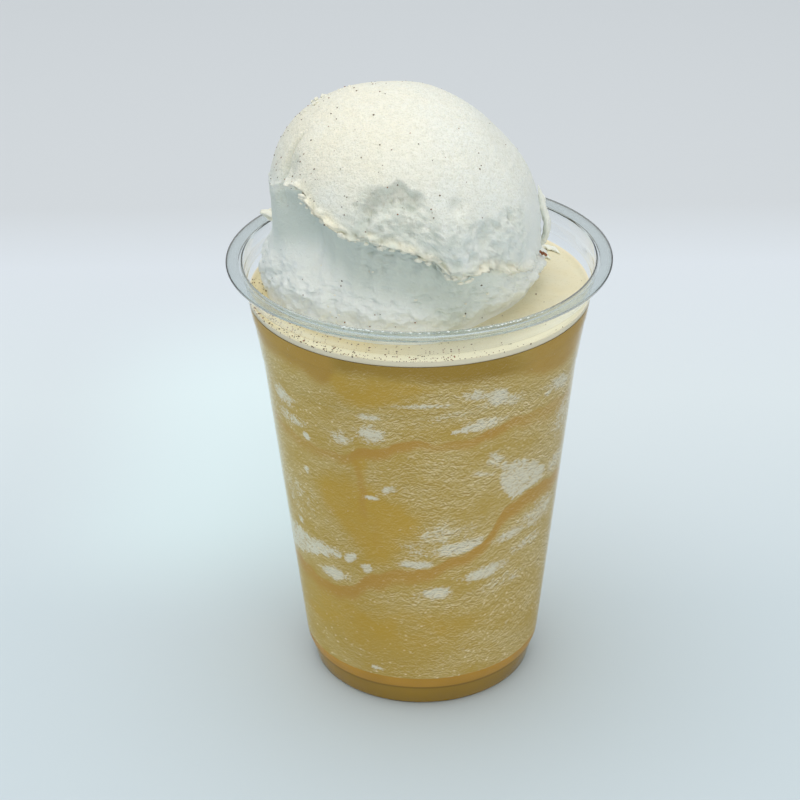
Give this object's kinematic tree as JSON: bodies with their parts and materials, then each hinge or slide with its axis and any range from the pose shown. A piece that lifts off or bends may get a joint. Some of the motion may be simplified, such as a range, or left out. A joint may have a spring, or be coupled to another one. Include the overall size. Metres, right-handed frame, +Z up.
{
  "type": "cup of frozen chai",
  "caption": "Clear tapered plastic cup filled with icy frozen chai, with a pale layer of froth and a large torn dollop of whipped cream over its rim.",
  "frame": {"origin": "centre of the cup's foot ring, on the surface that the cup stands on", "axes": "+Z up along the cup's axis; -Y is the front of the picture's view, +X its right"},
  "size_m": [0.098, 0.098, 0.162],
  "materials": {
    "clear_plastic": "clear thin plastic, glossy",
    "clear_chai": "clear amber drink, wet",
    "icy_chai": "tan icy slush with amber streaks and pale patches",
    "froth": "pale yellow froth with fine brown specks",
    "cream": "soft white cream, fine grain, a few brown specks"
  },
  "bodies": {
    "root": {"cup": "clear_plastic", "settled_chai": "clear_chai", "frozen_chai": "icy_chai", "froth": "froth", "whipped_cream": "cream"}
  },
  "joints": []
}
